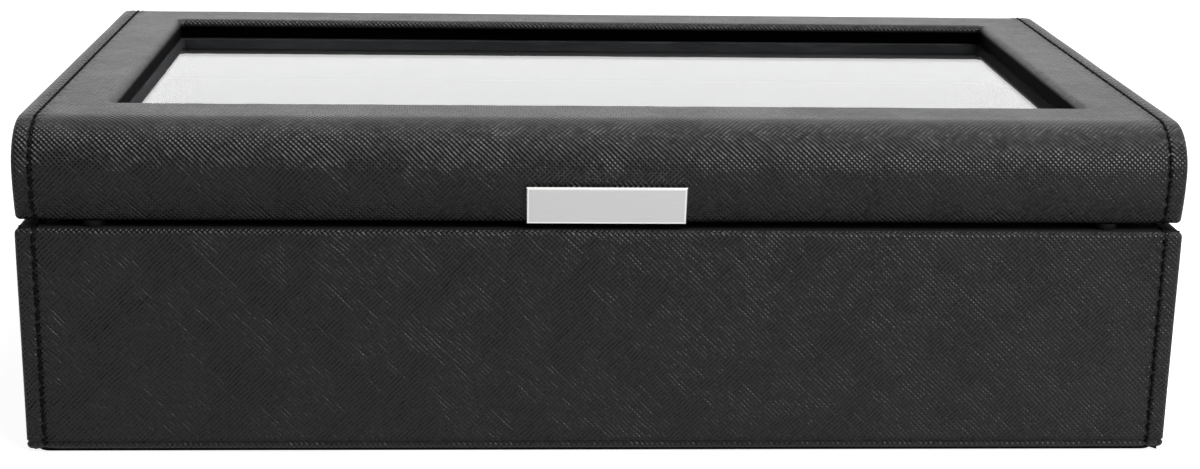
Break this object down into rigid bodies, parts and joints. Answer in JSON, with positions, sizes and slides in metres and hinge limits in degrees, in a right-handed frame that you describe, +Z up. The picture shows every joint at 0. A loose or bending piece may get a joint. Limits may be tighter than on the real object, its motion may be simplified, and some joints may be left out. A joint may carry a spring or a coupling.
{
  "type": "watch box",
  "caption": "Leatherette-covered watch storage box with a hinged glass-windowed lid, stitched ends, a metal front plate and padded watch cushions in a divided tray.",
  "frame": {"origin": "middle of the underside, on the surface that the box stands on, midway between its front and back walls", "axes": "+X to the right along the box's width, +Y from the front to the hinged back, +Z up"},
  "size_m": [0.34, 0.2121, 0.0994],
  "materials": {
    "leatherette": "black cross-grained leatherette, satin",
    "carcass_board": "bare fibreboard",
    "lining_suede": "dark grey suede cloth over card",
    "cushion_suede": "grey suede cloth over foam",
    "felt": "black felt",
    "window_glass": "clear float glass",
    "plate_metal": "fine horizontal brush",
    "hinge_metal": "nickel-plated pressed steel",
    "bumper_rubber": "black rubber"
  },
  "bodies": {
    "base": {"base_back_board": "carcass_board", "base_back_cover": "leatherette", "base_back_liner": "lining_suede", "base_floor_board": "carcass_board", "base_floor_pad": "lining_suede", "base_front_board": "carcass_board", "base_front_cover": "leatherette", "base_front_liner": "lining_suede", "base_left_board": "carcass_board", "base_left_cover": "leatherette", "base_left_liner": "lining_suede", "base_right_board": "carcass_board", "base_right_cover": "leatherette", "base_right_liner": "lining_suede", "cross_divider_1": "lining_suede", "cross_divider_2": "lining_suede", "cross_divider_3": "lining_suede", "cross_divider_4": "lining_suede", "cross_divider_5": "lining_suede", "hinge_base_leaf_left": "hinge_metal", "hinge_base_leaf_right": "hinge_metal", "hinge_base_screws": "hinge_metal", "hinge_pin_left": "hinge_metal", "hinge_pin_right": "hinge_metal", "long_divider": "lining_suede", "rim_bumpers": "bumper_rubber", "underside_felt": "felt"},
    "lid": {"front_plate": "plate_metal", "glass_retainer": "lining_suede", "hinge_lid_leaf_left": "hinge_metal", "hinge_lid_leaf_right": "hinge_metal", "hinge_lid_screws": "hinge_metal", "lid_back_liner": "lining_suede", "lid_back_rail": "carcass_board", "lid_front_liner": "lining_suede", "lid_front_rail": "carcass_board", "lid_left_cover": "leatherette", "lid_left_liner": "lining_suede", "lid_left_rail": "carcass_board", "lid_main_cover": "leatherette", "lid_right_cover": "leatherette", "lid_right_liner": "lining_suede", "lid_right_rail": "carcass_board", "window_glass": "window_glass"},
    "cushion_back_1": {"cushion_back_1": "cushion_suede"},
    "cushion_back_2": {"cushion_back_2": "cushion_suede"},
    "cushion_back_3": {"cushion_back_3": "cushion_suede"},
    "cushion_back_4": {"cushion_back_4": "cushion_suede"},
    "cushion_back_5": {"cushion_back_5": "cushion_suede"},
    "cushion_back_6": {"cushion_back_6": "cushion_suede"},
    "cushion_front_1": {"cushion_front_1": "cushion_suede"},
    "cushion_front_2": {"cushion_front_2": "cushion_suede"},
    "cushion_front_3": {"cushion_front_3": "cushion_suede"},
    "cushion_front_4": {"cushion_front_4": "cushion_suede"},
    "cushion_front_5": {"cushion_front_5": "cushion_suede"},
    "cushion_front_6": {"cushion_front_6": "cushion_suede"}
  },
  "joints": [
    {"name": "lid_hinge", "type": "hinge", "parent": "base", "child": "lid", "pos_m": [0, 0.1046, 0.0697], "axis": [-1, 0, 0], "range_deg": [0, 100]},
    {"name": "cushion_back_1_lift", "type": "slide", "parent": "base", "child": "cushion_back_1", "axis": [0, 0, 1], "range_m": [0, 0.03]},
    {"name": "cushion_back_2_lift", "type": "slide", "parent": "base", "child": "cushion_back_2", "axis": [0, 0, 1], "range_m": [0, 0.03]},
    {"name": "cushion_back_3_lift", "type": "slide", "parent": "base", "child": "cushion_back_3", "axis": [0, 0, 1], "range_m": [0, 0.03]},
    {"name": "cushion_back_4_lift", "type": "slide", "parent": "base", "child": "cushion_back_4", "axis": [0, 0, 1], "range_m": [0, 0.03]},
    {"name": "cushion_back_5_lift", "type": "slide", "parent": "base", "child": "cushion_back_5", "axis": [0, 0, 1], "range_m": [0, 0.03]},
    {"name": "cushion_back_6_lift", "type": "slide", "parent": "base", "child": "cushion_back_6", "axis": [0, 0, 1], "range_m": [0, 0.03]},
    {"name": "cushion_front_1_lift", "type": "slide", "parent": "base", "child": "cushion_front_1", "axis": [0, 0, 1], "range_m": [0, 0.03]},
    {"name": "cushion_front_2_lift", "type": "slide", "parent": "base", "child": "cushion_front_2", "axis": [0, 0, 1], "range_m": [0, 0.03]},
    {"name": "cushion_front_3_lift", "type": "slide", "parent": "base", "child": "cushion_front_3", "axis": [0, 0, 1], "range_m": [0, 0.03]},
    {"name": "cushion_front_4_lift", "type": "slide", "parent": "base", "child": "cushion_front_4", "axis": [0, 0, 1], "range_m": [0, 0.03]},
    {"name": "cushion_front_5_lift", "type": "slide", "parent": "base", "child": "cushion_front_5", "axis": [0, 0, 1], "range_m": [0, 0.03]},
    {"name": "cushion_front_6_lift", "type": "slide", "parent": "base", "child": "cushion_front_6", "axis": [0, 0, 1], "range_m": [0, 0.03]}
  ]
}
